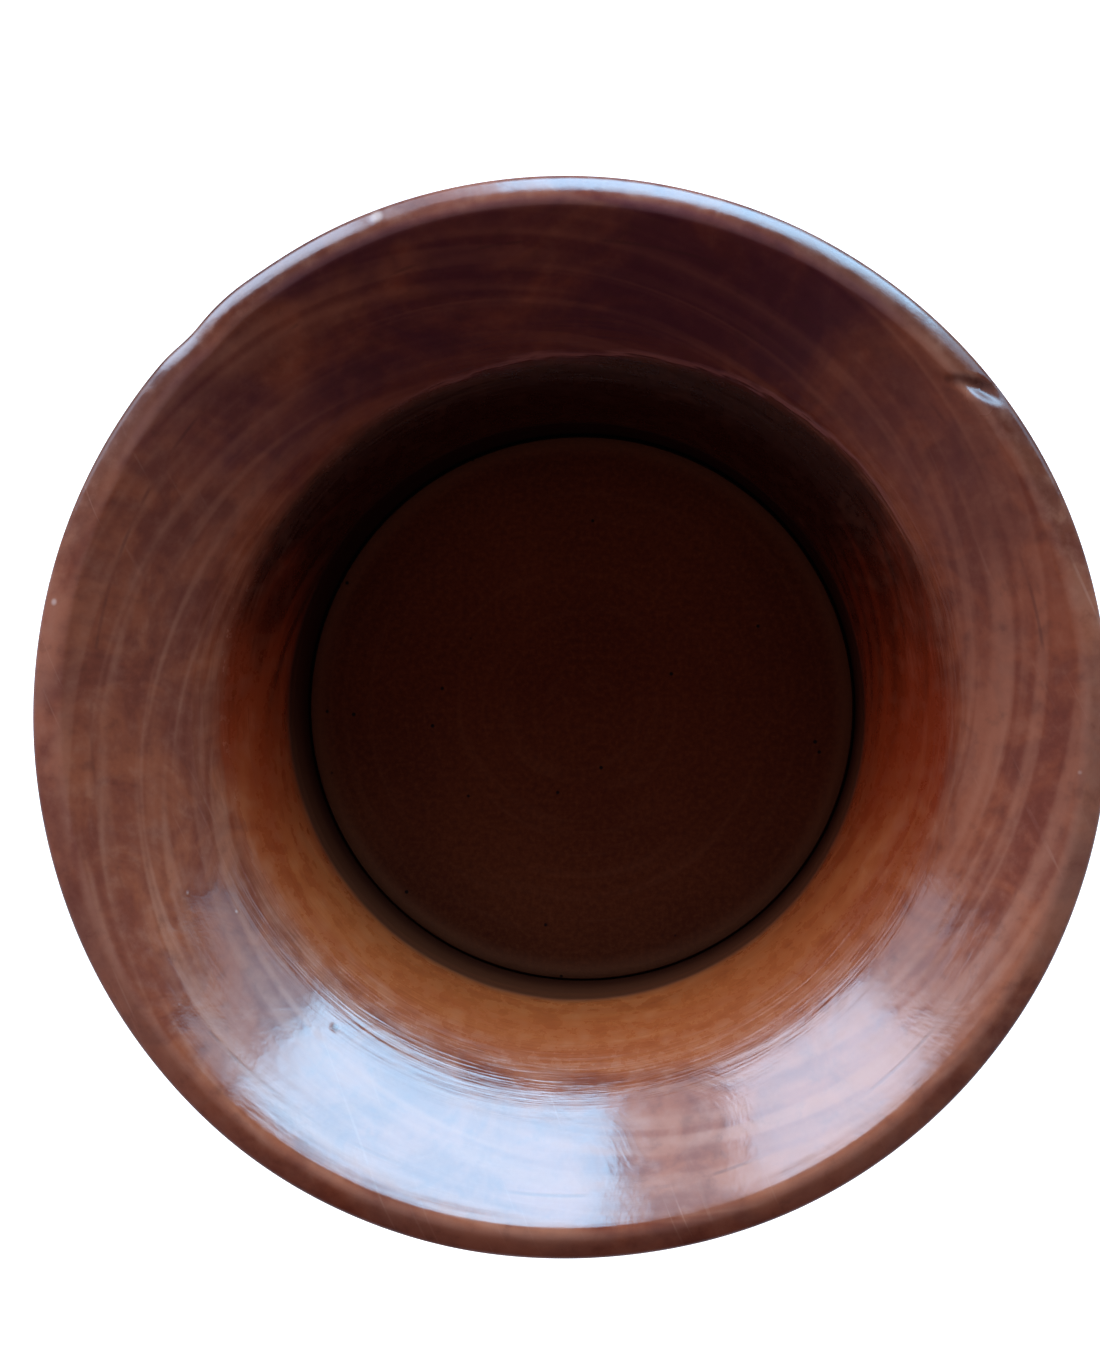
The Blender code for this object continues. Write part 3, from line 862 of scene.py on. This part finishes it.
def add_pane(name, first, last, low, high, share, colour):
    """One pane of the window: a rectangle of light that faces the dripper."""
    light = bpy.data.lights.new(name, "AREA")
    light.shape = "RECTANGLE"
    light.size = (last - first) * WINDOW_DISTANCE
    light.size_y = (high - low) * WINDOW_DISTANCE
    light.color = colour
    light.energy = WINDOW_RADIANCE * share * pi * light.size * light.size_y
    pane = bpy.data.objects.new(name, light)
    bpy.context.scene.collection.objects.link(pane)
    height = RIM_TOP + (low + high) / 2 * WINDOW_DISTANCE
    pane.location = ((first + last) / 2 * WINDOW_DISTANCE, WINDOW_DISTANCE, height)
    pane.rotation_euler = Vector((0, 1, 0)).to_track_quat("Z", "Y").to_euler()
    pane.visible_camera = False


# The room's light by direction: axis, where it begins and is full, and how much it adds.
ROOM_BANDS = (
    ("Z", -1.5, -1.2, 0.12),
    ("Z", 0.70, 0.95, 0.42),
    ("X", -0.35, -0.90, 0.34),
    ("X", 0.35, 0.90, 0.17),
)


def add_world():
    """Pale where the camera looks past the floor; else a dim room, lighter overhead and beside."""
    world = bpy.data.worlds.new("room")
    bpy.context.scene.world = world
    world.use_nodes = True
    tree = world.node_tree
    nodes = tree.nodes
    way = nodes.new("ShaderNodeSeparateXYZ")
    tree.links.new(nodes.new("ShaderNodeTexCoord").outputs["Generated"], way.inputs[0])

    def band(axis, low, high, gain):
        node = nodes.new("ShaderNodeMapRange")
        node.interpolation_type = "SMOOTHSTEP"
        tree.links.new(way.outputs[axis], node.inputs[0])
        for socket, number in zip(node.inputs[1:5], (low, high, 0.0, gain)):
            socket.default_value = number
        return node.outputs[0]

    strength = None
    for axis, low, high, gain in ROOM_BANDS:
        share = band(axis, low, high, gain)
        if strength is not None:
            total = nodes.new("ShaderNodeMath")
            tree.links.new(strength, total.inputs[0])
            tree.links.new(share, total.inputs[1])
            share = total.outputs[0]
        strength = share
    room = nodes["Background"]
    room.inputs["Color"].default_value = (0.98, 0.84, 0.93, 1)
    tree.links.new(strength, room.inputs["Strength"])
    pale = nodes.new("ShaderNodeBackground")
    pale.inputs["Color"].default_value = (0.97, 0.97, 0.97, 1)
    which = nodes.new("ShaderNodeLightPath")
    choice = nodes.new("ShaderNodeMixShader")
    tree.links.new(which.outputs["Is Camera Ray"], choice.inputs[0])
    tree.links.new(room.outputs[0], choice.inputs[1])
    tree.links.new(pale.outputs[0], choice.inputs[2])
    tree.links.new(choice.outputs[0], nodes["World Output"].inputs["Surface"])


# The camera: its height over the rim, its place aside of the axis, the place on the rim's plane
# that it looks at, and the frame's height there.
CAMERA_HEIGHT = 340 * MM
CAMERA_ASIDE = (14.4 * MM, 12.2 * MM)
CAMERA_AIM = (-1.70 * MM, 4.60 * MM)
FRAME_HEIGHT_AT_RIM = 149.2 * MM


def add_camera():
    """The camera, almost straight above the mouth, with +Y at the top of its frame."""
    data = bpy.data.cameras.new("camera")
    camera = bpy.data.objects.new("camera", data)
    bpy.context.scene.collection.objects.link(camera)
    place = Vector((*CAMERA_ASIDE, RIM_TOP + CAMERA_HEIGHT))
    backward = (place - Vector((*CAMERA_AIM, RIM_TOP))).normalized()
    right = Vector((0, 1, 0)).cross(backward).normalized()
    upward = backward.cross(right)
    camera.matrix_world = Matrix((right, upward, backward)).transposed().to_4x4()
    camera.location = place
    data.lens = data.sensor_width * CAMERA_HEIGHT / FRAME_HEIGHT_AT_RIM
    bpy.context.scene.camera = camera


add_floor()
for pane in PANES:
    add_pane(*pane)
add_world()
add_camera()
bpy.context.scene.view_settings.view_transform = "Standard"
bpy.context.scene.view_settings.look = "Medium High Contrast"
